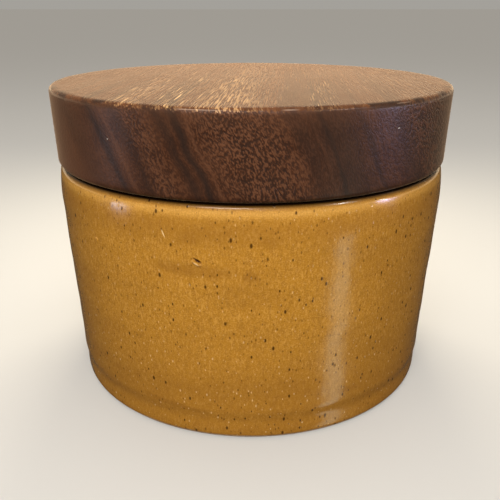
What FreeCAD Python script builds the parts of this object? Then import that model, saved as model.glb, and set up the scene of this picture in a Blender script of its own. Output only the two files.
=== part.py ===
"""A squat glazed stoneware tobacco jar closed by a thick turned wooden lid.

Two pieces, each a solid of its own:

- jar: a hollow pot with evenly flaring walls, a soft shoulder, a plain round
  mouth, a rounded inside corner, a shallow trimmed groove just above its foot,
  and a foot ring round a shallow recess.
- lid: a thick disc of wood whose side leans in towards the rim, with a plug
  below it that drops into the mouth with a running gap all round.

The lid rests on the flat land of the rim, face to face. Units are millimetres,
+Z is up, and the origin is the centre of the foot, on the surface that the jar
stands on.
"""

import FreeCAD
import Part

import math
import os

# Jar, outside. Diameters are those of the sharp corners, before rounding.
JAR_HEIGHT = 71.0
RIM_DIAMETER = 123.8
FOOT_DIAMETER = 116.8
SHOULDER_ROUND = 3.0
FOOT_ROUND = 2.6

# Jar, wall and floor.
WALL = 6.2
FLOOR_THICKNESS = 7.5
LIP_ROUND = 1.4
INNER_CORNER_ROUND = 8.0

# Foot ring and the recess inside it.
FOOT_RING_WIDTH = 7.0
RECESS_DEPTH = 1.8
RECESS_DRAFT_DEG = 35.0
RECESS_CORNER_ROUND = 0.8

# Trimmed groove round the outside, between its two edges' heights.
GROOVE_BOTTOM = 3.4
GROOVE_TOP = 9.6
GROOVE_DEPTH = 0.3

# Lid. Its thickness is what stands above the rim, and its top edge stands out
# past the rim by the overhang.
LID_THICKNESS = 22.9
LID_OVERHANG = 0.1
LID_LEAN_DEG = 1.8
LID_TOP_ROUND = 1.5
LID_BOTTOM_ROUND = 1.1

# Plug under the lid, which fits the mouth.
PLUG_HEIGHT = 8.0
PLUG_CLEARANCE = 0.6
PLUG_ROOT_ROUND = 0.5
PLUG_CHAMFER = 1.0

# How near a ring's radius and height come to those asked for.
SAME_RING = 1e-4


def corner(radius, height):
    """A point of a half section, in the XZ plane."""
    return FreeCAD.Vector(radius, 0, height)


def wall_radius(height):
    """The outside radius at a height, on the even flare from foot to rim."""
    return (FOOT_DIAMETER + (RIM_DIAMETER - FOOT_DIAMETER) * height / JAR_HEIGHT) / 2


def bore_radius(height):
    """The inside radius at a height, which follows the flare one wall further in."""
    return wall_radius(height) - WALL


def groove():
    """The arc of the trimmed groove, hollowed between its edges on the flare."""
    middle = (GROOVE_BOTTOM + GROOVE_TOP) / 2
    arc = Part.Arc(
        corner(wall_radius(GROOVE_BOTTOM), GROOVE_BOTTOM),
        corner(wall_radius(middle) - GROOVE_DEPTH, middle),
        corner(wall_radius(GROOVE_TOP), GROOVE_TOP),
    )
    return arc.toShape()


def chain(points):
    """The straight edges that join the points in order."""
    return [Part.makeLine(a, b) for a, b in zip(points, points[1:])]


def turned(edges):
    """The solid that the edges of a half section sweep round the Z axis."""
    face = Part.Face(Part.Wire(Part.__sortEdges__(edges)))
    return face.revolve(FreeCAD.Vector(0, 0, 0), FreeCAD.Vector(0, 0, 1), 360)


def ring(solid, radius, height):
    """The circular edge of a turned solid that has this radius and height."""
    for edge in solid.Edges:
        curve = edge.Curve
        if (
            isinstance(curve, Part.Circle)
            and abs(curve.Radius - radius) < SAME_RING
            and abs(curve.Center.z - height) < SAME_RING
        ):
            return edge
    raise ValueError(f"no ring of radius {radius} at height {height}")


def softened(solid, rings):
    """The solid with each of its rings, (radius, height, rounding), made round."""
    for radius, height, rounding in rings:
        solid = solid.makeFillet(rounding, [ring(solid, radius, height)])
    return solid


def make_jar():
    """The stoneware jar, turned from its half section and softened at its rings."""
    rim = wall_radius(JAR_HEIGHT)
    mouth = bore_radius(JAR_HEIGHT)
    well = bore_radius(FLOOR_THICKNESS)
    foot = wall_radius(0.0)
    recess_mouth = foot - FOOT_RING_WIDTH
    recess_top = recess_mouth - RECESS_DEPTH * math.tan(math.radians(RECESS_DRAFT_DEG))

    section = [
        corner(wall_radius(GROOVE_TOP), GROOVE_TOP),
        corner(rim, JAR_HEIGHT),
        corner(mouth, JAR_HEIGHT),
        corner(well, FLOOR_THICKNESS),
        corner(0.0, FLOOR_THICKNESS),
        corner(0.0, RECESS_DEPTH),
        corner(recess_top, RECESS_DEPTH),
        corner(recess_mouth, 0.0),
        corner(foot, 0.0),
        corner(wall_radius(GROOVE_BOTTOM), GROOVE_BOTTOM),
    ]
    rings = [
        (rim, JAR_HEIGHT, SHOULDER_ROUND),
        (mouth, JAR_HEIGHT, LIP_ROUND),
        (well, FLOOR_THICKNESS, INNER_CORNER_ROUND),
        (recess_top, RECESS_DEPTH, RECESS_CORNER_ROUND),
        (recess_mouth, 0.0, RECESS_CORNER_ROUND),
        (foot, 0.0, FOOT_ROUND),
    ]
    return softened(turned(chain(section) + [groove()]), rings)


def make_lid():
    """The wooden lid: a disc with a leaning side and its plug, turned in one piece."""
    seat = JAR_HEIGHT
    top = seat + LID_THICKNESS
    top_edge = wall_radius(seat) + LID_OVERHANG
    bottom_edge = top_edge - LID_THICKNESS * math.tan(math.radians(LID_LEAN_DEG))
    plug_end = seat - PLUG_HEIGHT
    plug = min(bore_radius(seat), bore_radius(plug_end)) - PLUG_CLEARANCE

    section = [
        corner(0.0, top),
        corner(top_edge, top),
        corner(bottom_edge, seat),
        corner(plug, seat),
        corner(plug, plug_end + PLUG_CHAMFER),
        corner(plug - PLUG_CHAMFER, plug_end),
        corner(0.0, plug_end),
    ]
    rings = [
        (top_edge, top, LID_TOP_ROUND),
        (bottom_edge, seat, LID_BOTTOM_ROUND),
        (plug, seat, PLUG_ROOT_ROUND),
    ]
    return softened(turned(chain(section + section[:1])), rings)


def main():
    """Builds each piece, writes it to its own file and prints what it holds."""
    os.makedirs("parts", exist_ok=True)
    pieces = {"jar": make_jar(), "lid": make_lid()}
    for name, solid in pieces.items():
        if not solid.isValid() or len(solid.Solids) != 1:
            raise ValueError(f"{name} isn't one valid solid")
        solid.exportStep(f"parts/{name}.step")
        box = solid.optimalBoundingBox()
        print(
            f"{name}: {solid.Volume / 1000:.1f} cm3,"
            f" {box.XLength:.1f} x {box.YLength:.1f} x {box.ZLength:.1f} mm"
        )


main()
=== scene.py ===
"""A squat glazed stoneware tobacco jar with its thick wooden lid, dressed for the studio.

The jar and the lid are each modelled anew round the fixed frame, at its sizes, with
the marks that hands left on them. Places and sizes are in metres, as in the frame.
The finishes measure their patterns in millimetres of the piece itself.
"""

import logging
import math
from collections.abc import Callable, Iterator
from contextlib import contextmanager
from dataclasses import dataclass
from enum import Enum
from typing import NamedTuple

import bmesh
import bpy
from bmesh.types import BMEdge, BMFace, BMVert
from bpy.types import Material, Node, NodeSocket, NodeTree, Object
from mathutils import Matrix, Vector

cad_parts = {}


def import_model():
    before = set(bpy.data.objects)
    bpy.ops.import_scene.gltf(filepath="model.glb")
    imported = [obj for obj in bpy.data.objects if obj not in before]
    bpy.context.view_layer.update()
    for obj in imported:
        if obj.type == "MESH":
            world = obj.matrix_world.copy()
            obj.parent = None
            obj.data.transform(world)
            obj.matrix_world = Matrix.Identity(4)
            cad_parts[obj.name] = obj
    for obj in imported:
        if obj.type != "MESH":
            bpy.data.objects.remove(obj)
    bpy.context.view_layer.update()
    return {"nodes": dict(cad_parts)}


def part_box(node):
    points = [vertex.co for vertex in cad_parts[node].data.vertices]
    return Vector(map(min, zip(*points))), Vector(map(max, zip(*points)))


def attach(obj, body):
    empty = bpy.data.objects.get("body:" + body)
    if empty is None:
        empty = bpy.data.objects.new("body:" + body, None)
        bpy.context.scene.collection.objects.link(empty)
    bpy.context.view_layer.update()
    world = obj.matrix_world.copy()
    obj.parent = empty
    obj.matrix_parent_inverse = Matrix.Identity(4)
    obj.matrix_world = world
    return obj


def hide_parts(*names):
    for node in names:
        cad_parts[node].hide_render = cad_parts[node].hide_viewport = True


MM = 0.001
NEAR = 0.04 * MM
DOUBLE = 0.001 * MM
LOG = logging.getLogger("tobacco_jar")

Value = float | NodeSocket
Triple = tuple[float, float, float]
Colour = Triple


# ---------------- bench work


class Part(Enum):
    """What is picked in edit mode, with the name of the mesh's list of it."""

    FACE = "faces"
    EDGE = "edges"
    VERT = "verts"


def select_alone(piece: Object) -> None:
    """Selects one object, and nothing else, and makes it the active one.

    Args:
        piece: the object.
    """
    bpy.ops.object.select_all(action="DESELECT")
    piece.select_set(True)
    bpy.context.view_layer.objects.active = piece


@contextmanager
def on_the_bench(piece: Object) -> Iterator[None]:
    """Opens a piece in edit mode with nothing selected, and closes it afterwards.

    Args:
        piece: the mesh to work on.
    """
    select_alone(piece)
    bpy.ops.object.mode_set(mode="EDIT")
    bpy.ops.mesh.select_all(action="DESELECT")
    yield
    bpy.ops.object.mode_set(mode="OBJECT")


def blank(name: str, facets: int, radius: float, low: float, high: float) -> Object:
    """Adds the upright cylinder that a piece is shaped from.

    Args:
        name: the piece's name.
        facets: how many sides it has.
        radius: its radius.
        low: its underside's height.
        high: its top's height.

    Returns:
        The cylinder.
    """
    bpy.ops.object.select_all(action="DESELECT")
    bpy.ops.mesh.primitive_cylinder_add(
        vertices=facets,
        radius=radius,
        depth=high - low,
        end_fill_type="TRIFAN",
        location=(0.0, 0.0, (high + low) / 2),
    )
    piece = bpy.context.object
    piece.name = name
    bpy.ops.object.transform_apply(location=True)
    return piece


def reach(point: Vector) -> float:
    """How far a point is from the axis that both pieces are turned about."""
    return math.hypot(point.x, point.y)


def inner_end(edge: BMEdge) -> float:
    """How near an edge comes to the axis."""
    return min(reach(vertex.co) for vertex in edge.verts)


def rise(edge: BMEdge) -> float:
    """How far apart in height an edge's ends are."""
    return abs(edge.verts[0].co.z - edge.verts[1].co.z)


def points_where(test: Callable[[Vector], bool]) -> list[Vector]:
    """The places of the open mesh's vertices that pass a test."""
    mesh = bmesh.from_edit_mesh(bpy.context.object.data)
    return [vertex.co.copy() for vertex in mesh.verts if test(vertex.co)]


def pick(part: Part, test: Callable[..., bool]) -> None:
    """Selects what passes a test in the open mesh, and nothing else.

    Args:
        part: what is picked.
        test: says of a face, an edge or a vertex whether it is wanted.
    """
    bpy.ops.mesh.select_mode(type=part.name)
    bpy.ops.mesh.select_all(action="DESELECT")
    mesh = bmesh.from_edit_mesh(bpy.context.object.data)
    for item in getattr(mesh, part.value):
        if test(item):
            item.select_set(True)
    bmesh.update_edit_mesh(bpy.context.object.data)


def pick_flat(side: float) -> None:
    """Selects the flat faces that look up, where the side is 1, or down, where it is -1."""
    pick(Part.FACE, lambda face: face.normal.z * side > 0.5)


def soften_ring(radius: float, height: float, rounding: float, steps: int) -> None:
    """Rounds the sharp ring at a radius and height of the open mesh.

    Args:
        radius: the ring's distance from the axis.
        height: the ring's height above the foot.
        rounding: the radius of the round.
        steps: how many faces the round takes.
    """

    def on_ring(vertex: BMVert) -> bool:
        """Whether a vertex is on the ring."""
        return abs(reach(vertex.co) - radius) < NEAR and abs(vertex.co.z - height) < NEAR

    pick(Part.EDGE, lambda edge: all(map(on_ring, edge.verts)))
    bpy.ops.mesh.bevel(offset=rounding, segments=steps, profile=0.5, affect="EDGES")


def scale_picked(share: float, height: float, **settings: object) -> None:
    """Draws what is selected towards the axis, or away from it, at its own height.

    Args:
        share: its new distance from the axis, as a share of its old one.
        height: its height.
        settings: what else the operator is told.
    """
    middle = (0.0, 0.0, height)
    bpy.ops.transform.resize(value=(share, share, 1.0), center_override=middle, **settings)


def extrude_picked(lift: float) -> None:
    """Draws what is selected out of the mesh, upwards or, below 0, downwards."""
    bpy.ops.mesh.extrude_region_move(TRANSFORM_OT_translate={"value": (0.0, 0.0, lift)})


def cut_rows(test: Callable[[BMEdge], bool], cuts: int) -> None:
    """Divides the edges that pass a test, which rings the faces between them."""
    pick(Part.EDGE, test)
    bpy.ops.mesh.subdivide(number_cuts=cuts)


def close_up() -> None:
    """Merges what coincides in the open mesh and turns every face outwards."""
    bpy.ops.mesh.select_all(action="SELECT")
    bpy.ops.mesh.remove_doubles(threshold=DOUBLE)
    bpy.ops.mesh.normals_make_consistent(inside=False)
    bpy.ops.mesh.select_all(action="DESELECT")


@dataclass(frozen=True)
class Clouds:
    """Soft swelling of a surface, as a hand or the weather leaves it.

    Attributes:
        cell: the size of one swelling along X, Y and Z.
        depth: from its lowest to its highest.
        shift: moves the pattern, so that no two are alike.
    """

    cell: Triple
    depth: float
    shift: Triple = (0.0, 0.0, 0.0)

    def press(self, piece: Object, share: Callable[[Vector], float]) -> None:
        """Displaces a piece along its normals.

        Args:
            piece: the mesh, in object mode.
            share: says from a place how much of the swelling it gets, from 0 to 1.
        """
        select_alone(piece)
        group = piece.vertex_groups.new(name="swelling")
        for vertex in piece.data.vertices:
            weight = share(vertex.co)
            if weight > 0.0:
                group.add([vertex.index], min(weight, 1.0), "REPLACE")
        grid = bpy.data.objects.new("swelling_grid", None)
        bpy.context.scene.collection.objects.link(grid)
        grid.scale = self.cell
        grid.location = self.shift
        bpy.context.view_layer.update()
        texture = bpy.data.textures.new("swelling", "CLOUDS")
        texture.noise_scale = 1.0
        texture.noise_depth = 1
        bpy.ops.object.modifier_add(type="DISPLACE")
        modifier = piece.modifiers[-1]
        modifier.texture = texture
        modifier.texture_coords = "OBJECT"
        modifier.texture_coords_object = grid
        modifier.strength = self.depth
        modifier.vertex_group = group.name
        bpy.ops.object.modifier_apply(modifier=modifier.name)
        bpy.data.objects.remove(grid)
        piece.vertex_groups.remove(piece.vertex_groups["swelling"])


def ramp(value: float, low: float, high: float) -> float:
    """How far a value is from low to high, from 0 to 1, easing in and out."""
    share = min(max((value - low) / (high - low), 0.0), 1.0)
    return share * share * (3.0 - 2.0 * share)


# ---------------- node recipes

# How patterns are squeezed along X, Y and Z: not at all, or drawn out as glaze runs.
EVEN: Triple = (1.0, 1.0, 1.0)
RUNS: Triple = (1.0, 1.0, 0.55)
RAIN: Triple = (1.0, 1.0, 0.42)


class Fade(NamedTuple):
    """Easing from start to end as a value goes from low to high."""

    low: float
    high: float
    start: float = 0.0
    end: float = 1.0


class Mottle(NamedTuple):
    """Soft blotches of about a size in millimetres, on squeezed or, below 1, drawn out noise.

    None show at its low level and all at its high one, at a share of their strength.
    """

    size: float
    low: float
    high: float
    share: float
    squeeze: Triple = EVEN


class Specks(NamedTuple):
    """Specks of about a radius in millimetres, one to a cell in the filled share of cells.

    Soft is the share of a speck that fades out. The cells may be squeezed or drawn out.
    """

    spacing: float
    size: float
    filled: float
    soft: float
    share: float
    squeeze: Triple = EVEN


class Ring(NamedTuple):
    """A soft band so many millimetres inside and below an edge, for wear, dirt, a glaze change
    and painted shade.
    """

    inside: float
    below: float
    width: float
    share: float


class Recipe:
    """A node tree written as sums: each method adds one node and gives its output."""

    def __init__(self, tree: NodeTree) -> None:
        """Starts on a tree, which is emptied first."""
        self.tree = tree
        tree.nodes.clear()

    def node(self, kind: str, **settings: object) -> Node:
        """Adds a node.

        Args:
            kind: its type.
            settings: its properties.

        Returns:
            The node.
        """
        node = self.tree.nodes.new(kind)
        for name, value in settings.items():
            setattr(node, name, value)
        return node

    def feed(self, socket: NodeSocket, value: object) -> None:
        """Links an input to an output, or sets it to a plain value.

        Args:
            socket: the input.
            value: an output, number, vector or colour.
        """
        if isinstance(value, NodeSocket):
            self.tree.links.new(value, socket)
        elif socket.type == "RGBA":
            socket.default_value = (*value, 1.0)
        else:
            socket.default_value = value

    def math(self, operation: str, *values: Value, clamp: bool = False) -> Value:
        """One sum of numbers.

        Args:
            operation: its name, such as MULTIPLY.
            values: what it takes.
            clamp: whether the result is kept from 0 to 1.

        Returns:
            The result.
        """
        node = self.node("ShaderNodeMath", operation=operation, use_clamp=clamp)
        for socket, value in zip(node.inputs, values):
            self.feed(socket, value)
        return node.outputs[0]

    def times(self, first: Value, second: Value) -> Value:
        """The product of two numbers."""
        return self.math("MULTIPLY", first, second)

    def plus(self, first: Value, second: Value) -> Value:
        """The sum of two numbers."""
        return self.math("ADD", first, second)

    def minus(self, first: Value, second: Value) -> Value:
        """What is left of the first number without the second."""
        return self.math("SUBTRACT", first, second)

    def length(self, across: Value, up: Value) -> Value:
        """The length of a line that goes so far across and so far up."""
        return self.math("SQRT", self.plus(self.times(across, across), self.times(up, up)))

    def vector(self, operation: str, *values: object) -> Value:
        """One sum of vectors.

        Args:
            operation: its name, such as SUBTRACT.
            values: what it takes.

        Returns:
            The resulting vector or, for LENGTH, number.
        """
        node = self.node("ShaderNodeVectorMath", operation=operation)
        for socket, value in zip(node.inputs, values):
            self.feed(socket, value)
        return node.outputs["Value" if operation == "LENGTH" else "Vector"]

    def fade(
        self, value: Value, low: Value, high: Value, start: float = 0.0, end: float = 1.0
    ) -> Value:
        """Eases from start to end as a value goes from low to high.

        Args:
            value: what is read.
            low: where it gives start.
            high: where it gives end.
            start: the first result.
            end: the last result.

        Returns:
            The result.
        """
        node = self.node("ShaderNodeMapRange", interpolation_type="SMOOTHSTEP")
        labels = ("Value", "From Min", "From Max", "To Min", "To Max")
        for label, given in zip(labels, (value, low, high, start, end)):
            self.feed(node.inputs[label], given)
        return node.outputs["Result"]

    def mix(self, share: Value, first: object, second: object) -> Value:
        """Mixes two colours.

        Args:
            share: how much of the second there is, which is kept from 0 to 1.
            first: the first colour.
            second: the second colour.

        Returns:
            The colour.
        """
        node = self.node("ShaderNodeMix", data_type="RGBA", clamp_factor=True)
        for index, given in ((0, share), (6, first), (7, second)):
            self.feed(node.inputs[index], given)
        return node.outputs[2]

    def lay(self, ground: object, colour: Colour, mask: Value, share: float) -> Value:
        """Lays a colour over the ground where a mask shows it, at a share of its strength."""
        return self.mix(self.times(mask, share), ground, colour)

    def split(self, place: Value) -> tuple[Value, Value, Value]:
        """A vector's three numbers."""
        node = self.node("ShaderNodeSeparateXYZ")
        self.feed(node.inputs[0], place)
        return node.outputs[0], node.outputs[1], node.outputs[2]

    def noise(self, place: Value, size: Value, detail: float = 2.0) -> Value:
        """Smooth noise, whose blotches are about a given size.

        Args:
            place: where it is read, in millimetres.
            size: a blotch's size, in millimetres.
            detail: how many finer layers it has.

        Returns:
            The noise, from 0 to 1.
        """
        node = self.node("ShaderNodeTexNoise")
        self.feed(node.inputs["Vector"], place)
        self.feed(node.inputs["Scale"], self.math("DIVIDE", 1.0, size))
        node.inputs["Detail"].default_value = detail
        return node.outputs[0]


class Effects:
    """The effects that more than one finish uses, each a node group built once."""

    def __init__(self) -> None:
        """Builds every group."""
        self.trees = {Specks: self._specks(), Mottle: self._mottle(), Ring: self._ring()}

    @staticmethod
    def _start(name: str, *labels: str) -> tuple[Recipe, dict[str, Value], Value]:
        """Starts a group with a Place, its numbers and a Mask for its output.

        Args:
            name: the group's name.
            labels: the names of the numbers that it is given.

        Returns:
            The recipe, the inputs by name, and the output's socket to feed.
        """
        tree = bpy.data.node_groups.new(name, "ShaderNodeTree")
        recipe = Recipe(tree)
        tree.interface.new_socket("Place", in_out="INPUT", socket_type="NodeSocketVector")
        for label in labels:
            tree.interface.new_socket(label, in_out="INPUT", socket_type="NodeSocketFloat")
        tree.interface.new_socket("Mask", in_out="OUTPUT", socket_type="NodeSocketFloat")
        given = recipe.node("NodeGroupInput")
        result = recipe.node("NodeGroupOutput")
        return recipe, {s.name: s for s in given.outputs if s.name}, result.inputs["Mask"]

    def _specks(self) -> NodeTree:
        """The group of round specks of uneven size, scattered one to a cell."""
        smallest = 0.45
        r, given, mask = self._start("specks", "Spacing", "Size", "Filled", "Soft")
        cells = r.node("ShaderNodeTexVoronoi")
        r.feed(cells.inputs["Vector"], given["Place"])
        r.feed(cells.inputs["Scale"], r.math("DIVIDE", 1.0, given["Spacing"]))
        away = r.times(cells.outputs["Distance"], given["Spacing"])
        chance, luck, _ = r.split(cells.outputs["Color"])
        radius = r.times(given["Size"], r.plus(luck, smallest))
        core = r.times(radius, r.minus(1.0, given["Soft"]))
        there = r.math("LESS_THAN", chance, given["Filled"])
        r.feed(mask, r.times(r.fade(away, core, radius, 1.0, 0.0), there))
        return r.tree

    def _mottle(self) -> NodeTree:
        """The group of soft blotches, from one level of noise to another."""
        r, given, mask = self._start("mottle", "Size", "Low", "High")
        noise = r.noise(given["Place"], given["Size"])
        r.feed(mask, r.fade(noise, given["Low"], given["High"]))
        return r.tree

    def _ring(self) -> NodeTree:
        """The group of a soft band along the ring at a radius and height."""
        r, given, mask = self._start("ring", "Radius", "Height", "Width")
        x, y, z = r.split(given["Place"])
        out = r.minus(r.length(x, y), given["Radius"])
        away = r.length(out, r.minus(z, given["Height"]))
        r.feed(mask, r.fade(away, 0.0, given["Width"], 1.0, 0.0))
        return r.tree


class Paint(Recipe):
    """The recipe of a new material, with its shader and output in place."""

    def __init__(self, name: str) -> None:
        """Starts the material.

        Args:
            name: its name.
        """
        self.material = bpy.data.materials.new(name)
        self.material.use_nodes = True
        super().__init__(self.material.node_tree)
        self.shader = self.node("ShaderNodeBsdfPrincipled")
        output = self.node("ShaderNodeOutputMaterial")
        self.feed(output.inputs["Surface"], self.shader.outputs[0])


class PiecePaint(Paint):
    """A paint that reads a piece's own place in millimetres and has the shared effects."""

    def __init__(self, name: str, effects: Effects) -> None:
        """Starts the material.

        Args:
            name: its name.
            effects: the shared groups.
        """
        super().__init__(name)
        self.effects = effects
        coordinates = self.node("ShaderNodeTexCoord")
        self.place = self.vector("MULTIPLY", coordinates.outputs["Object"], (1.0 / MM,) * 3)
        _, self.y, self.z = self.split(self.place)

    def _group(self, kind: type, *values: object) -> Value:
        """Places a shared effect.

        Args:
            kind: what it draws.
            values: its place and its numbers, in the group's own order.

        Returns:
            Its mask.
        """
        node = self.node("ShaderNodeGroup", node_tree=self.effects.trees[kind])
        for socket, value in zip(node.inputs, values):
            self.feed(socket, value)
        return node.outputs[0]

    def mask(self, layer: Mottle | Specks, place: Value | None = None) -> Value:
        """The mask of blotches or specks, on the piece's own place or on another.

        Args:
            layer: the blotches or specks, whose numbers come in their group's own order.
            place: where they are read, in millimetres.

        Returns:
            The mask.
        """
        place = self.place if place is None else place
        squeezed = self.vector("MULTIPLY", place, layer.squeeze)
        return self._group(type(layer), squeezed, *layer[: layer._fields.index("share")])

    def ring(self, ring: Ring, radius: float, height: float) -> Value:
        """The mask of a band along the edge at a radius and height."""
        numbers = (radius - ring.inside, height - ring.below, ring.width)
        return self._group(Ring, self.place, *numbers)

    def raise_by(self, height: Value) -> None:
        """Gives the surface a fine relief.

        Args:
            height: how high it stands, in millimetres.
        """
        bump = self.node("ShaderNodeBump")
        bump.inputs["Distance"].default_value = MM
        self.feed(bump.inputs["Height"], height)
        self.feed(self.shader.inputs["Normal"], bump.outputs[0])


# ---------------- finishes


class Mark(NamedTuple):
    """A painted mark on the jar's wall, or a dent in it, in degrees and millimetres.

    Its azimuth is to the right of the front, its length and width are half of the whole,
    and its length tilts down to the right. The amount is a painted mark's strength or a
    dent's depth, which is below 0 where it stands out.
    """

    azimuth: float
    height: float
    length: float
    width: float
    tilt: float
    amount: float


@dataclass(frozen=True)
class OchreGlaze:
    """Glossy ochre glaze over speckled stoneware, wiped off the foot.

    The body is the glaze's own colour, deep where it is thick or ran and pale where it
    is thin. Iron specks burned through it, and crystals are bright grains and pinholes.
    The clay is bare at the foot, and the gap shade colour is painted shadow in the gap under
    the lid.
    Heights, radii and sizes are in millimetres.
    """

    height: float
    rim: float
    foot: float
    body: Colour = (0.455, 0.215, 0.0230)
    deep: Colour = (0.265, 0.114, 0.0160)
    pale: Colour = (0.680, 0.370, 0.0800)
    iron: Colour = (0.045, 0.013, 0.002)
    crystal: Colour = (0.95, 0.70, 0.34)
    clay: Colour = (0.46, 0.30, 0.17)
    # Painted shadow: near black, for the gap where the lid sits on the rim.
    gap_shade_colour: Colour = (0.006, 0.003, 0.001)
    large: Specks = Specks(1.75, 0.36, 0.44, 0.6, 0.88, RUNS)
    small: Specks = Specks(0.95, 0.24, 0.42, 0.6, 0.62, RUNS)
    grains: Specks = Specks(1.05, 0.22, 0.50, 0.7, 0.58, RUNS)
    sparkle: Fade = Fade(71.0, 8.0, 0.35, 0.9)
    shade: Mottle = Mottle(0.80, 0.54, 0.34, 0.40, RAIN)
    ash: Mottle = Mottle(0.42, 0.50, 0.30, 0.44)
    flecks: Mottle = Mottle(0.55, 0.52, 0.72, 0.52, RAIN)
    sand: Mottle = Mottle(0.34, 0.42, 0.70, 0.46)
    throwing: Mottle = Mottle(34.0, 0.42, 0.66, 0.17, (1.0, 1.0, 3.2))
    clouds: Mottle = Mottle(11.0, 0.35, 0.70, 0.11)
    # Painted shade: the glaze darkens towards the foot.
    painted_foot_shade: Fade = Fade(4.0, 42.0, 0.44, 0.0)
    under: Ring = Ring(0.4, 7.0, 5.5, 0.34)
    broken: Ring = Ring(0.9, 2.6, 2.0, 0.80)
    broken_least: float = 0.55
    # Darker up to the lid: partly glaze pooled at the rim, partly painted shade of the lid.
    pooled_and_lid_shade: Ring = Ring(2.6, 0.1, 3.1, 0.95)
    # Painted shadow in the gap under the lid, fading onto the shoulder below it.
    gap_shade: Ring = Ring(2.4, 0.2, 2.3, 1.2)
    bare_to: float = 0.9
    bare_wave: float = 9.0
    bare_rise: float = 0.8
    bare_fade: Fade = Fade(-0.12, 0.12)
    bare_iron: float = 0.7
    bare_rough: float = 0.85
    grit: Mottle = Mottle(0.7, 0.3, 0.8, 0.4)
    gloss_patch: float = 6.0
    gloss: Fade = Fade(0.3, 0.7, 0.14, 0.21)
    wave: tuple[float, float] = (2.6, 0.035)
    wave_squeeze: Triple = (1.0, 1.0, 0.2)
    peel: tuple[float, float] = (0.9, 0.012)
    pit_depth: float = 0.05
    speck_height: float = 0.03
    mark_fade: Fade = Fade(0.35, 1.0)
    # Soft darker patches on the wall: painted shade of its faint dips.
    painted_dip_shade: tuple[Mark, ...] = (
        Mark(-14.0, 53.0, 17.0, 2.6, 2.0, 0.40),
        Mark(4.5, 61.0, 4.0, 2.2, 0.0, 0.30),
        Mark(0.0, 52.0, 3.0, 2.2, 0.0, 0.40),
        Mark(-15.0, 61.5, 5.0, 2.5, 0.0, 0.22),
        Mark(-22.0, 9.5, 14.0, 1.3, 6.0, 0.45),
        Mark(28.0, 13.0, 5.0, 1.6, 0.0, 0.35),
    )
    # A pale scratch, and a painted highlight along the nick's raised lip.
    scratch_and_lip_highlight: tuple[Mark, ...] = (
        Mark(-21.2, 62.2, 1.40, 0.24, 68.0, 0.80),
        # Painted highlight on the nick's raised lip.
        Mark(-13.1, 54.95, 1.20, 0.30, 27.0, 0.55),
    )
    # Painted shadow: the dark crescent along the nick's upper edge.
    nick_painted_shadow: tuple[Mark, ...] = (Mark(-12.8, 55.65, 1.45, 0.50, 27.0, 1.0),)

    def make(self, effects: Effects) -> Material:
        """Builds the glaze, its specks and the bare foot in one material.

        Args:
            effects: the shared groups.

        Returns:
            The material.
        """
        r = PiecePaint("ochre_glaze", effects)
        large = r.mask(self.large)
        grains = r.mask(self.grains)
        iron = r.math("MAXIMUM", large, r.times(r.mask(self.small), self.small.share))
        sparkle = r.times(grains, r.fade(r.z, *self.sparkle._replace(low=self.height)))

        colour = self._rings(r, self._ground(r))
        colour = r.lay(colour, self.iron, iron, self.large.share)
        colour = r.lay(colour, self.crystal, sparkle, self.grains.share)
        # A pale scratch, and a painted highlight on the nick's lip.
        colour = r.mix(self._marks(r, self.scratch_and_lip_highlight), colour, self.crystal)
        # Painted shadow in the nick, in the iron colour.
        colour = r.mix(self._marks(r, self.nick_painted_shadow), colour, self.iron)
        # Painted shadow in the gap under the lid, and painted shade on the shoulder below it.
        gap_shade = r.ring(self.gap_shade, self.rim, self.height)
        colour = r.lay(colour, self.gap_shade_colour, gap_shade, self.gap_shade.share)

        wave = r.times(r.noise(r.place, self.bare_wave), self.bare_rise)
        glazed = r.fade(r.minus(r.z, r.plus(self.bare_to, wave)), *self.bare_fade)
        bare = r.lay(self.clay, self.deep, r.mask(self.grit), self.grit.share)
        bare = r.lay(bare, self.iron, iron, self.bare_iron)
        r.feed(r.shader.inputs["Base Color"], r.mix(glazed, bare, colour))

        gloss = r.fade(r.noise(r.place, self.gloss_patch), *self.gloss)
        rough = r.node("ShaderNodeMix", data_type="FLOAT")
        for index, given in ((0, glazed), (2, self.bare_rough), (3, gloss)):
            r.feed(rough.inputs[index], given)
        r.feed(r.shader.inputs["Roughness"], rough.outputs[0])
        self._relief(r, large, grains)
        r.shader.inputs["IOR"].default_value = 1.45
        return r.material

    def _ground(self, r: PiecePaint) -> Value:
        """The glaze's ground: mottled, with painted shade towards the foot and in soft patches.

        Args:
            r: the paint.

        Returns:
            The colour.
        """
        colour: object = self.body
        for mottle, shown in (
            (self.shade, self.deep),
            (self.ash, self.deep),
            (self.flecks, self.pale),
            (self.sand, self.pale),
            (self.throwing, self.deep),
            (self.clouds, self.deep),
        ):
            colour = r.lay(colour, shown, r.mask(mottle), mottle.share)
        # Painted shade, darker towards the foot.
        colour = r.mix(r.fade(r.z, *self.painted_foot_shade), colour, self.deep)
        # Painted shade in soft patches where the wall dips.
        return r.mix(self._marks(r, self.painted_dip_shade), colour, self.deep)

    def _rings(self, r: PiecePaint, colour: Value) -> Value:
        """Breaks the glaze pale over the shoulder and pools it below. Above, it darkens it
        with pooled glaze and painted shade of the lid.

        Args:
            r: the paint.
            colour: the glaze's colour.

        Returns:
            The colour.
        """
        sand = r.times(r.mask(self.sand), 1.0 - self.broken_least)
        for ring, shown, strength in (
            (self.under, self.deep, 1.0),
            (self.broken, self.pale, r.plus(self.broken_least, sand)),
            (self.pooled_and_lid_shade, self.deep, 1.0),
        ):
            mask = r.times(r.ring(ring, self.rim, self.height), strength)
            colour = r.lay(colour, shown, mask, ring.share)
        return colour

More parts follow.
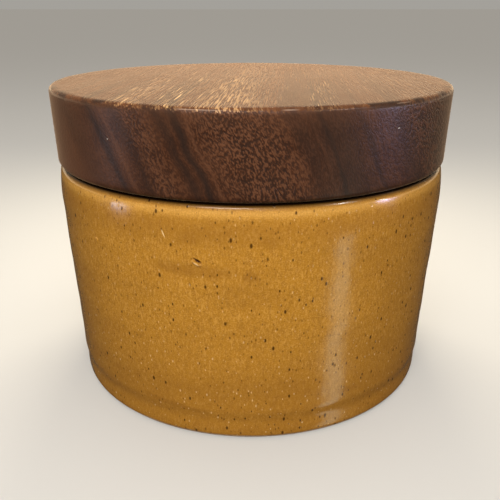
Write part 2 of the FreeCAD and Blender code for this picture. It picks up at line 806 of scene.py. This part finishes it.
    def _marks(self, r: PiecePaint, marks: tuple[Mark, ...]) -> Value:
        """The mask of soft marks, each at its own place on the wall.

        Args:
            r: the paint.
            marks: the marks.

        Returns:
            The mask.
        """
        mask: Value = 0.0
        for mark in marks:
            azimuth = math.radians(mark.azimuth)
            radius = self.foot + (self.rim - self.foot) * mark.height / self.height
            middle = (radius * math.sin(azimuth), -radius * math.cos(azimuth), mark.height)
            facing = r.node("ShaderNodeVectorRotate", rotation_type="EULER_XYZ", invert=True)
            r.feed(facing.inputs["Vector"], r.vector("SUBTRACT", r.place, middle))
            r.feed(facing.inputs["Rotation"], (0.0, math.radians(mark.tilt), azimuth))
            shares = (1.0 / mark.length, 0.5 / mark.length, 1.0 / mark.width)
            spread = r.vector("LENGTH", r.vector("MULTIPLY", facing.outputs[0], shares))
            fade = self.mark_fade._replace(start=mark.amount, end=0.0)
            mask = r.math("MAXIMUM", mask, r.fade(spread, *fade))
        return mask

    def _relief(self, r: PiecePaint, specks: Value, pits: Value) -> None:
        """Gives the glaze its low waves, its orange peel, and its specks and pits.

        Args:
            r: the paint.
            specks: the mask of the iron specks.
            pits: the mask of the pits.
        """
        runs = r.vector("MULTIPLY", r.place, self.wave_squeeze)
        waves = r.times(r.noise(runs, self.wave[0]), self.wave[1])
        peel = r.times(r.noise(r.place, self.peel[0]), self.peel[1])
        marks = r.plus(r.times(pits, -self.pit_depth), r.times(specks, self.speck_height))
        r.raise_by(r.plus(r.plus(waves, peel), marks))


class Band(NamedTuple):
    """A band of the wood's growth: how far out its middle is, its half width, its strength."""

    out: float
    width: float
    strength: float


@dataclass(frozen=True)
class DarkHardwood:
    """Dark brown oiled hardwood with a drier, more open top.

    Brown is the wood's own colour, late its dark bands and pores, and light the threads
    between them. The top is a paler copy of the wood, partly drier and partly painted
    light, with its own dark bands, and gold where open pores catch the light. Its top edge
    is pale with wear and a painted highlight, with a soft bloom of fibres and some dust,
    and the gap shade colour is painted shadow along its bottom edge. The heart is the
    tree's, beside and below the lid. Heights, radii and sizes are in millimetres.
    """

    top: float
    edge: float
    seat: float
    seat_edge: float = 61.28
    brown: Colour = (0.055, 0.0195, 0.0088)
    late: Colour = (0.019, 0.0120, 0.0100)
    light: Colour = (0.155, 0.066, 0.034)
    # The top's colours are paler copies of the side's: partly drier wood, partly painted light.
    top_dry_and_lit: Colour = (0.122, 0.045, 0.0175)
    top_late_dry_and_lit: Colour = (0.045, 0.020, 0.0115)
    gold: Colour = (0.98, 0.60, 0.27)
    # Pale wear along the top edge, together with a painted highlight there.
    worn_and_highlight: Colour = (0.55, 0.40, 0.30)
    dust: Colour = (0.80, 0.76, 0.70)
    bloom: Colour = (1.00, 0.69, 0.43)
    # Painted shadow: near black, for the gap along the lid's bottom edge.
    gap_shade_colour: Colour = (0.006, 0.004, 0.003)
    heart: tuple[float, float] = (-364.8, -81.5)
    heart_reach: float = 400.0
    grain_turn: float = math.radians(3.5)
    grain_squeeze: Triple = (1.0, 0.06, 1.0)
    wander_size: float = 11.0
    wander: float = 3.0
    tangle_squeeze: Triple = (1.0, 0.045, 0.52)
    tangle_size: float = 0.41
    tangle_detail: float = 1.0
    thread_levels: Fade = Fade(0.47, 0.66)
    thread_height: float = 0.025
    pore_levels: Fade = Fade(0.52, 0.34)
    pore_depth: float = 0.035
    open_least: float = 0.35
    streaks: Mottle = Mottle(0.8, 0.35, 0.70, 0.24, (1.0, 0.02, 0.07))
    figure: Mottle = Mottle(3.6, 0.32, 0.72, 0.26, (1.0, 0.3, 0.6))
    # The side grows paler towards its top edge.
    paler_near_top: Fade = Fade(-6.0, -1.5, 0.0, 0.16)
    # How far back the top's dark bands and dashes reach: fading them paints the back plain,
    # partly as glare.
    front: Fade = Fade(-55.0, 25.0, 1.0, 0.15)
    burst_least: float = 0.14
    dashes: Specks = Specks(0.62, 0.19, 0.85, 0.8, 0.78, (1.0, 0.030, 0.60))
    ragged_level: float = 0.42
    ragged: float = 1.8
    top_from: Fade = Fade(-0.75, -0.2)
    motes: Specks = Specks(6.0, 0.22, 0.30, 0.4, 0.8)
    roughness: Fade = Fade(0.0, 1.0, 0.36, 0.25)
    grime: Ring = Ring(1.0, 0.3, 2.2, 0.80)
    grime_patches: Mottle = Mottle(9.0, 0.49, 0.60, 1.0)
    # Pale wear and a painted highlight along the top edge.
    wear_and_highlight: Ring = Ring(0.42, 0.42, 0.3, 0.5)
    wear_and_highlight_patches: Mottle = Mottle(14.0, 0.52, 0.62, 1.0)
    # Painted shadow along the lid's bottom edge, where it meets the rim.
    gap_shade: Ring = Ring(1.6, 0.0, 1.6, 2.0)
    dark_bands: tuple[Band, ...] = (
        Band(-38.1, 3.9, 0.30), Band(-29.8, 2.1, 0.80), Band(-23.1, 2.5, 0.55),
        Band(-12.5, 2.7, 0.70), Band(-9.4, 2.0, 0.95), Band(16.4, 4.0, 0.50),
        Band(21.7, 1.8, 0.90), Band(23.5, 11.2, 0.55), Band(30.7, 1.7, 0.60),
        Band(39.2, 4.5, 0.45), Band(51.5, 11.2, 0.30),
    )
    light_bands_and_left_sheen: tuple[Band, ...] = (
        Band(-26.7, 0.9, 0.40), Band(-6.9, 0.7, 0.43), Band(19.3, 0.7, 0.30),
        # Painted sheen: this wide band lightens the lid's left side.
        Band(-52.0, 24.0, 1.0),
    )
    burst_bands: tuple[Band, ...] = (
        Band(-10.5, 6.0, 1.0), Band(1.2, 12.0, 0.80), Band(-20.0, 7.0, 0.65),
        Band(24.0, 6.0, 0.60),
    )
    open_bands: tuple[Band, ...] = (
        Band(3.9, 14.6, 1.0), Band(48.2, 12.3, 0.9), Band(-19.0, 5.6, 0.5),
    )

    def make(self, effects: Effects) -> Material:
        """Builds the wood as one solid block of grain, cut by the lid's surface.

        Args:
            effects: the shared groups.

        Returns:
            The material.
        """
        r = PiecePaint("dark_hardwood", effects)
        growth, out = self._growth(r)
        late = self._bands(r, out, self.dark_bands)
        open_grain = r.plus(self.open_least, self._bands(r, out, self.open_bands))
        tangle_place = r.vector("MULTIPLY", growth, self.tangle_squeeze)
        tangle = r.noise(tangle_place, self.tangle_size, self.tangle_detail)
        threads, pores = (
            r.math("MULTIPLY", r.fade(tangle, *levels), open_grain, clamp=True)
            for levels in (self.thread_levels, self.pore_levels)
        )
        streaks = r.mask(self.streaks, growth)

        side: object = self.brown
        for colour, mask, share in (
            (self.light, r.mask(self.figure, growth), self.figure.share),
            (self.light, threads, 0.74),
            (self.late, pores, 0.62),
            (self.late, streaks, self.streaks.share),
            # Light growth bands, and a painted sheen on the lid's left side.
            (self.light, self._bands(r, out, self.light_bands_and_left_sheen), 0.7),
            (self.late, late, 0.85),
        ):
            side = r.lay(side, colour, mask, share)
        below_top = r.minus(r.z, self.top)
        # The side grows paler towards its top edge.
        side = r.mix(r.fade(below_top, *self.paler_near_top), side, self.light)

        # The top's dark bands and gold dashes fade towards the back, partly painting the plain
        # look of glare.
        front = r.fade(r.y, *self.front)
        burst = r.times(self._bands(r, out, self.burst_bands), front)
        worked = r.plus(self.burst_least, burst)
        dashes = r.math("MULTIPLY", r.mask(self.dashes, growth), worked, clamp=True)
        # The top: a paler copy of the wood, partly painted light.
        top_dry_and_lit: object = self.top_dry_and_lit
        for colour, mask, share in (
            (self.top_late_dry_and_lit, streaks, 0.36),
            (self.top_late_dry_and_lit, r.times(late, front), 0.95),
            (self.gold, r.times(threads, worked), 0.38),
            (self.gold, dashes, self.dashes.share),
        ):
            top_dry_and_lit = r.lay(top_dry_and_lit, colour, mask, share)

        ragged = r.times(r.minus(tangle, self.ragged_level), self.ragged)
        top = r.fade(r.plus(below_top, ragged), *self.top_from)
        colour = self._edge_wear_and_shade(r, r.mix(top, side, top_dry_and_lit))
        colour = r.lay(colour, self.dust, r.mask(self.motes), self.motes.share)
        r.feed(r.shader.inputs["Base Color"], colour)
        r.feed(r.shader.inputs["Roughness"], r.fade(top, *self.roughness))
        sunk = r.times(pores, -self.pore_depth)
        r.raise_by(r.plus(sunk, r.times(threads, self.thread_height)))
        r.shader.inputs["Specular IOR Level"].default_value = 0.25
        r.shader.inputs["Sheen Weight"].default_value = 0.26
        r.shader.inputs["Sheen Roughness"].default_value = 0.25
        r.shader.inputs["Sheen Tint"].default_value = (*self.bloom, 1.0)
        return r.material

    def _growth(self, r: PiecePaint) -> tuple[Value, Value]:
        """A point's place in the tree: out from the heart, along the grain, and round it.

        Args:
            r: the paint.

        Returns:
            The place in the tree as one vector, and its distance outwards alone.
        """
        turned = r.node("ShaderNodeVectorRotate", rotation_type="Z_AXIS")
        r.feed(turned.inputs["Vector"], r.place)
        turned.inputs["Angle"].default_value = self.grain_turn
        x, along, z = r.split(turned.outputs[0])
        across = r.minus(x, self.heart[0])
        up = r.minus(z, self.heart[1])
        from_heart = r.minus(r.length(across, up), self.heart_reach)
        around = r.times(r.math("ARCTAN2", up, across), self.heart_reach)
        grain = r.vector("MULTIPLY", turned.outputs[0], self.grain_squeeze)
        noise = r.minus(r.noise(grain, self.wander_size), 0.5)
        out = r.plus(from_heart, r.times(noise, self.wander))
        joined = r.node("ShaderNodeCombineXYZ")
        for socket, value in zip(joined.inputs, (out, along, around)):
            r.feed(socket, value)
        return joined.outputs[0], out

    @staticmethod
    def _bands(r: PiecePaint, out: Value, bands: tuple[Band, ...]) -> Value:
        """The mask of a set of growth bands.

        Args:
            r: the paint.
            out: the distance out from the tree's heart.
            bands: the bands.

        Returns:
            The mask.
        """
        mask: Value = 0.0
        for band in bands:
            away = r.math("ABSOLUTE", r.minus(out, band.out))
            mask = r.math("MAXIMUM", mask, r.fade(away, 0.0, band.width, band.strength, 0.0))
        return mask

    def _edge_wear_and_shade(self, r: PiecePaint, colour: Value) -> Value:
        """Rubs the edges: dark with handling, pale along the top with wear and a painted
        highlight, and painted shadow in the gap below.

        Args:
            r: the paint.
            colour: the wood's colour.

        Returns:
            The rubbed colour.
        """
        for ring, patches, shown in (
            (self.grime, self.grime_patches, self.late),
            (self.wear_and_highlight, self.wear_and_highlight_patches, self.worn_and_highlight),
        ):
            mask = r.times(r.ring(ring, self.edge, self.top), r.mask(patches))
            colour = r.lay(colour, shown, mask, ring.share)
        # Painted shadow in the gap along the lid's bottom edge.
        gap_shade = r.ring(self.gap_shade, self.seat_edge, self.seat)
        return r.lay(colour, self.gap_shade_colour, gap_shade, self.gap_shade.share)


# ---------------- the pieces


@dataclass
class Jar:
    """The glazed pot, with the groove, swellings and nick of its own making."""

    height: float
    rim: float
    facets: int = 288
    foot: float = 58.4 * MM
    wall: float = 6.2 * MM
    floor: float = 7.5 * MM
    shoulder_round: float = 2.2 * MM
    lip_round: float = 1.4 * MM
    foot_round: float = 1.9 * MM
    inner_round: float = 8.0 * MM
    ring_width: float = 7.0 * MM
    recess: float = 1.8 * MM
    recess_draft: float = math.radians(35.0)
    recess_round: float = 0.5 * MM
    groove_height: float = 6.3 * MM
    groove_depth: float = 0.28 * MM
    ridge_height: float = 9.6 * MM
    ridge_swell: float = 0.10 * MM
    turning_reach: float = 3.4 * MM
    lean_from: float = 59.0 * MM
    rim_lean: float = 1.27 * MM
    skin: float = 1.2 * MM
    skin_from: float = 1.0 * MM
    still_shoulder: float = 15.0 * MM
    swellings: tuple[Clouds, ...] = (
        Clouds((34 * MM, 34 * MM, 11 * MM), 0.42 * MM),
        Clouds((9 * MM, 9 * MM, 5 * MM), 0.07 * MM, (3 * MM, 1 * MM, 0.0)),
    )
    patch_spreads: tuple[float, ...] = (2.2 * MM, 1.0 * MM)
    patch_reach: float = 8.0 * MM
    dent_reach: float = 0.45 * MM
    dents: tuple[Mark, ...] = (
        Mark(-12.8, 55.65, 1.05, 0.17, 27.0, 0.45),
        Mark(-13.0, 54.95, 1.00, 0.16, 27.0, -0.30),
        Mark(-44.0, 55.6, 0.50, 0.50, 0.0, -0.16),
        Mark(-21.2, 62.2, 1.10, 0.14, 68.0, 0.10),
    )

    def model(self) -> Object:
        """Models the whole pot.

        Returns:
            The finished mesh, at its place.
        """
        piece = blank("jar_body", self.facets, self.foot, 0.0, self.height)
        with on_the_bench(piece):
            self._hollow()
            self._turn_foot()
            self._soften()
            self._ring_walls()
            self._trim()
            self._lean_rim()
            close_up()
        for swelling in self.swellings:
            swelling.press(piece, self._swells)
        with on_the_bench(piece):
            for dent in self.dents:
                self._press(dent)
            close_up()
        bpy.ops.object.shade_smooth()
        return piece

    def _hollow(self) -> None:
        """Flares the wall and sinks the bore, which keeps an even wall."""
        pick_flat(1.0)
        scale_picked(self.rim / self.foot, self.height)
        bpy.ops.mesh.inset(thickness=self.wall)
        extrude_picked(self.floor - self.height)
        scale_picked(self._bore(self.floor) / self._bore(self.height), self.floor)

    def _turn_foot(self) -> None:
        """Leaves a foot ring round a shallow recess with leaning sides."""
        pick_flat(-1.0)
        bpy.ops.mesh.inset(thickness=self.ring_width)
        extrude_picked(self.recess)
        scale_picked(self._recess_top() / (self.foot - self.ring_width), self.recess)

    def _soften(self) -> None:
        """Rounds every ring that the glaze runs over."""
        for radius, height, rounding, steps in (
            (self.rim, self.height, self.shoulder_round, 8),
            (self._bore(self.height), self.height, self.lip_round, 5),
            (self._bore(self.floor), self.floor, self.inner_round, 8),
            (self.foot, 0.0, self.foot_round, 8),
            (self.foot - self.ring_width, 0.0, self.recess_round, 3),
            (self._recess_top(), self.recess, self.recess_round, 3),
        ):
            soften_ring(radius, height, rounding, steps)

    def _ring_walls(self) -> None:
        """Divides the long faces of the wall, the bore, the floor and the recess."""
        tall = self.height / 3
        skin = self.foot - NEAR
        cut_rows(lambda edge: rise(edge) > tall and inner_end(edge) > skin, 60)
        cut_rows(lambda edge: rise(edge) > tall and inner_end(edge) < skin, 14)
        cut_rows(lambda edge: inner_end(edge) < NEAR, 24)

    def _trim(self) -> None:
        """Turns the groove and the ridge above it into the wall near the foot."""
        for height, swell in (
            (self.groove_height, -self.groove_depth),
            (self.ridge_height, self.ridge_swell),
        ):
            rows = (point.z for point in points_where(self._outside))
            row = min(rows, key=lambda z: abs(z - height))
            pick(Part.VERT, lambda v: abs(v.co.z - row) < NEAR and self._outside(v.co))
            scale_picked(
                1.0 + swell / self._wall(height),
                height,
                use_proportional_edit=True,
                proportional_edit_falloff="SMOOTH",
                proportional_size=self.turning_reach,
            )

    def _lean_rim(self) -> None:
        """Draws the wall in towards the rim, more and more, for a soft shoulder."""
        inner = self.rim - self.shoulder_round - NEAR

        def leans(point: Vector) -> bool:
            """Whether a point is on the wall's leaning part."""
            return point.z > self.lean_from and reach(point) > inner

        for row in sorted({round(point.z / NEAR) for point in points_where(leans)}):
            height = row * NEAR
            share = (height - self.lean_from) / (self.height - self.lean_from)
            pick(Part.VERT, lambda v: leans(v.co) and round(v.co.z / NEAR) == row)
            scale_picked(1.0 - self.rim_lean * share**2 / self._wall(height), height)

    def _swells(self, place: Vector) -> float:
        """How much of the faint swellings of hand throwing a place gets."""
        up = ramp(place.z, self.foot_round, 4 * self.foot_round) * self._outside(place)
        shoulder = self.height - self.shoulder_round
        return up * ramp(place.z, shoulder, self.height - self.still_shoulder)

    def _press(self, dent: Mark) -> None:
        """Presses one small mark into the wall, on a patch of finer faces.

        Args:
            dent: the mark.
        """
        azimuth, tilt = math.radians(dent.azimuth), math.radians(dent.tilt)
        height = dent.height * MM
        outward = Vector((math.sin(azimuth), -math.cos(azimuth), 0.0))
        middle = outward * self._wall(height) + Vector((0.0, 0.0, height))
        sideways = Vector((math.cos(azimuth), math.sin(azimuth), 0.0))
        lengthwise = sideways * math.cos(tilt) - Vector((0.0, 0.0, math.sin(tilt)))
        crosswise = outward.cross(lengthwise)

        def within(place: Vector, spread: float) -> bool:
            """Whether a place is in the mark, or within a spread of it."""
            away = place - middle
            long_share = away.dot(lengthwise) / (dent.length * MM + spread)
            cross_share = away.dot(crosswise) / (dent.width * MM + spread)
            near = away.length < self.patch_reach
            return near and long_share**2 + cross_share**2 < 1.0

        def on_patch(face: BMFace) -> bool:
            """Whether a face of the wall is in the patch that is divided."""
            return within(face.calc_center_median(), spread) and face.normal.dot(outward) > 0.5

        for spread in self.patch_spreads:
            pick(Part.FACE, on_patch)
            bpy.ops.mesh.subdivide(number_cuts=2)
        pick(Part.VERT, lambda vertex: within(vertex.co, 0.0))
        bpy.ops.transform.translate(
            value=outward * (-dent.amount * MM),
            use_proportional_edit=True,
            proportional_edit_falloff="SMOOTH",
            proportional_size=self.dent_reach,
            use_proportional_connected=True,
        )

    def _wall(self, height: float) -> float:
        """The outside radius at a height."""
        return self.foot + (self.rim - self.foot) * height / self.height

    def _bore(self, height: float) -> float:
        """The inside radius at a height."""
        return self._wall(height) - self.wall

    def _recess_top(self) -> float:
        """The radius of the recess at its flat."""
        return self.foot - self.ring_width - self.recess * math.tan(self.recess_draft)

    def _outside(self, place: Vector) -> bool:
        """Whether a place is on the outside of the wall, above the foot's round."""
        return place.z > self.skin_from and reach(place) > self._wall(place.z) - self.skin


@dataclass
class Lid:
    """The wooden lid: a leaning disc and the plug below it, in one piece."""

    seat: float
    top: float
    edge: float
    plug_end: float
    facets: int = 384
    lean: float = math.radians(1.8)
    top_round: float = 1.5 * MM
    bottom_round: float = 1.6 * MM
    plug: float = 54.69 * MM
    plug_chamfer: float = 1.0 * MM
    smooth_to: float = math.radians(40.0)
    still_seat: float = 6.0 * MM
    warp: Clouds = Clouds((30 * MM, 60 * MM, 30 * MM), 0.30 * MM)
    edge_near: float = 0.6 * MM
    edge_far: float = 2.6 * MM
    knocks: Clouds = Clouds((7 * MM, 7 * MM, 7 * MM), 0.12 * MM, (2 * MM, 0.0, 0.0))

    def model(self) -> Object:
        """Models the whole lid.

        Returns:
            The finished mesh, at its place.
        """
        bottom = self._bottom_edge()
        piece = blank("lid_board", self.facets, bottom, self.seat, self.top)
        with on_the_bench(piece):
            pick_flat(1.0)
            scale_picked(self.edge / bottom, self.top)
            self._turn_plug()
            soften_ring(self.edge, self.top, self.top_round, 6)
            soften_ring(bottom, self.seat, self.bottom_round, 5)
            soften_ring(self.plug, self.plug_end, self.plug_chamfer, 1)
            self._ring_faces()
            close_up()
        self.warp.press(piece, self._warps)
        self.knocks.press(piece, self._is_knocked)
        select_alone(piece)
        bpy.ops.object.shade_smooth_by_angle(angle=self.smooth_to)
        return piece

    def _turn_plug(self) -> None:
        """Draws the plug out of the underside."""
        pick_flat(-1.0)
        bpy.ops.mesh.inset(thickness=self._bottom_edge() - self.plug)
        extrude_picked(self.plug_end - self.seat)

    def _ring_faces(self) -> None:
        """Divides the side and both flats into rows, so that they can move."""
        tall = (self.top - self.seat) / 2
        skin = self.plug + 1.0 * MM
        cut_rows(lambda edge: rise(edge) > tall and inner_end(edge) > skin, 22)
        cut_rows(lambda edge: inner_end(edge) < NEAR, 44)

    def _warps(self, place: Vector) -> float:
        """How much of the board's own movement a place gets."""
        return ramp(place.z, self.seat + self.bottom_round, self.seat + self.still_seat)

    def _is_knocked(self, place: Vector) -> float:
        """How much of the knocks along the top edge a place gets."""
        away = math.hypot(reach(place) - self.edge, place.z - self.top)
        return ramp(away, self.edge_far, self.edge_near)

    def _bottom_edge(self) -> float:
        """The board's radius at the seat."""
        return self.edge - (self.top - self.seat) * math.tan(self.lean)


# ---------------- the studio


class Seen(Enum):
    """What a light is for: lighting a surface, or being mirrored in its gloss."""

    LIGHTING = "lighting"
    MIRRORED = "mirrored"


@dataclass(frozen=True)
class Softbox:
    """A soft rectangular light, which faces its aim and which the camera doesn't see."""

    name: str
    place: Triple
    aim: Triple
    size: tuple[float, float]
    watts: float
    colour: Colour
    seen: Seen = Seen.MIRRORED

    def hang(self) -> None:
        """Adds the light to the scene."""
        bpy.ops.object.light_add(type="AREA", location=self.place)
        lamp = bpy.context.object
        lamp.name = self.name
        lamp.data.shape = "RECTANGLE"
        lamp.data.size, lamp.data.size_y = self.size
        lamp.data.energy = self.watts
        lamp.data.color = self.colour
        direction = Vector(self.aim) - Vector(self.place)
        lamp.rotation_euler = direction.to_track_quat("-Z", "Y").to_euler()
        lamp.visible_camera = False
        lamp.visible_diffuse = self.seen is Seen.LIGHTING
        lamp.visible_glossy = self.seen is Seen.MIRRORED


LIGHTS = (
    Softbox("top_softbox", (0.0, -0.05, 0.75), (0.0, -0.05, 0.05), (0.60, 0.50), 3.5,
            (1.0, 0.96, 0.90), Seen.LIGHTING),
    Softbox("front_softbox", (-0.030, -0.42, 0.32), (0.0, 0.0, 0.04), (0.35, 0.30), 2.38,
            (1.0, 0.96, 0.92), Seen.LIGHTING),
    Softbox("back_softbox", (0.0, 0.17, 0.22), (0.0, 0.02, 0.09), (0.14, 0.06), 0.85,
            (1.0, 0.88, 0.68), Seen.LIGHTING),
    Softbox("ceiling_strip", (-0.16, -0.52, 0.63), (0.0, -0.06, 0.07), (0.36, 0.025), 1.80,
            (1.0, 0.88, 0.82)),
    Softbox("right_window", (0.535, -0.330, 0.550), (0.0, 0.0, 0.06), (0.06, 0.04), 0.8,
            (1.0, 1.0, 1.0)),
    Softbox("far_right_window", (0.760, -0.210, 0.170), (0.0, 0.0, 0.06), (0.035, 0.03), 0.4,
            (0.88, 0.96, 1.0)),
    Softbox("left_window", (-0.757, -0.200, -0.040), (0.0, 0.0, 0.06), (0.13, 0.05), 0.30,
            (0.58, 0.74, 1.0)),
    Softbox("low_right_window", (0.640, -0.465, -0.435), (0.0, 0.0, 0.04), (0.16, 0.50), 0.60,
            (0.84, 0.95, 0.76)),
    Softbox("low_far_right_window", (0.90, -0.205, 0.053), (0.0, 0.0, 0.085), (0.13, 0.06), 1.5,
            (0.62, 0.60, 1.0)),
)


@dataclass(frozen=True)
class Studio:
    """The floor, the lights and the camera."""

    camera_back: float = 203.85 * MM
    camera_up: float = 115.38 * MM
    pitch: float = math.radians(21.44)
    turn: float = math.radians(0.09)
    lens: float = 44.64
    nearest_seen: float = 0.01
    floor_size: float = 60.0
    floor_colour: Colour = (0.38, 0.375, 0.36)
    floor_glow: Colour = (0.25, 0.243, 0.228)
    sky: Colour = (0.25, 0.215, 0.17)
    horizon: Colour = (1.75, 1.34, 0.86)
    ground: Colour = (0.070, 0.062, 0.050)
    far_floor: Colour = (0.37, 0.355, 0.325)
    sky_from: Fade = Fade(0.06, 0.14)
    horizon_from: Fade = Fade(-0.06, 0.01)

    def build(self) -> None:
        """Lays the floor, hangs the lights and sets the camera."""
        bpy.ops.mesh.primitive_plane_add(size=self.floor_size)
        floor = bpy.context.object
        floor.name = "studio_floor"
        floor.data.materials.append(self._floor_finish())
        floor.visible_diffuse = False
        floor.visible_glossy = False
        floor.visible_shadow = False
        for light in LIGHTS:
            light.hang()
        self._sky()
        bpy.ops.object.camera_add(
            location=(0.0, -self.camera_back, self.camera_up),
            rotation=(math.pi / 2 - self.pitch, 0.0, self.turn),
        )
        camera = bpy.context.object
        camera.data.lens = self.lens
        camera.data.clip_start = self.nearest_seen
        scene = bpy.context.scene
        scene.camera = camera
        scene.view_settings.view_transform = "Standard"

    def _floor_finish(self) -> Material:
        """The floor's plain matt paint, lit a little from within to stay pale far off.

        Returns:
            The material.
        """
        paint = Paint("floor_paint")
        for name, value in (
            ("Base Color", self.floor_colour),
            ("Roughness", 0.9),
            ("Specular IOR Level", 0.0),
            ("Emission Color", self.floor_glow),
            ("Emission Strength", 1.0),
        ):
            paint.feed(paint.shader.inputs[name], value)
        return paint.material

    def _sky(self) -> None:
        """Surrounds the scene with soft light above, and less of it below."""
        world = bpy.data.worlds.new("studio_sky")
        world.use_nodes = True
        r = Recipe(world.node_tree)
        _, _, up = r.split(r.node("ShaderNodeTexCoord").outputs["Generated"])
        above = r.mix(r.fade(up, *self.sky_from), self.horizon, self.sky)
        light = r.mix(r.fade(up, *self.horizon_from), self.ground, above)
        seen = r.node("ShaderNodeLightPath").outputs["Is Camera Ray"]
        background = r.node("ShaderNodeBackground")
        r.feed(background.inputs["Color"], r.mix(seen, light, self.far_floor))
        output = r.node("ShaderNodeOutputWorld")
        r.feed(output.inputs["Surface"], background.outputs[0])
        bpy.context.scene.world = world


# ---------------- the whole


def show(piece: Object, node: str, material: Material) -> None:
    """Dresses a piece, seats it on the frame and reports it.

    Args:
        piece: the finished mesh.
        node: the frame's node that it stands for.
        material: its finish.
    """
    piece.data.materials.clear()
    piece.data.materials.append(material)
    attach(piece, "root")
    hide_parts(node)
    piece.data.calc_loop_triangles()
    LOG.info("%s: %d triangles", piece.name, len(piece.data.loop_triangles))


def main() -> None:
    """Builds the jar, the lid and the studio round the frame."""
    logging.basicConfig(level=logging.INFO, format="%(name)s %(message)s")
    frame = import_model()
    LOG.info("frame nodes: %s", sorted(frame["nodes"]))
    jar_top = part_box("jar")[1]
    lid_low, lid_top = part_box("lid")
    jar = Jar(height=jar_top.z, rim=61.9 * MM)
    lid = Lid(seat=jar_top.z, top=lid_top.z, edge=62.0 * MM, plug_end=lid_low.z)
    effects = Effects()
    glaze = OchreGlaze(height=jar.height / MM, rim=jar.rim / MM, foot=jar.foot / MM)
    wood = DarkHardwood(top=lid.top / MM, edge=lid.edge / MM, seat=lid.seat / MM)
    show(jar.model(), "jar", glaze.make(effects))
    show(lid.model(), "lid", wood.make(effects))
    Studio().build()


if __name__ == "__main__":
    main()
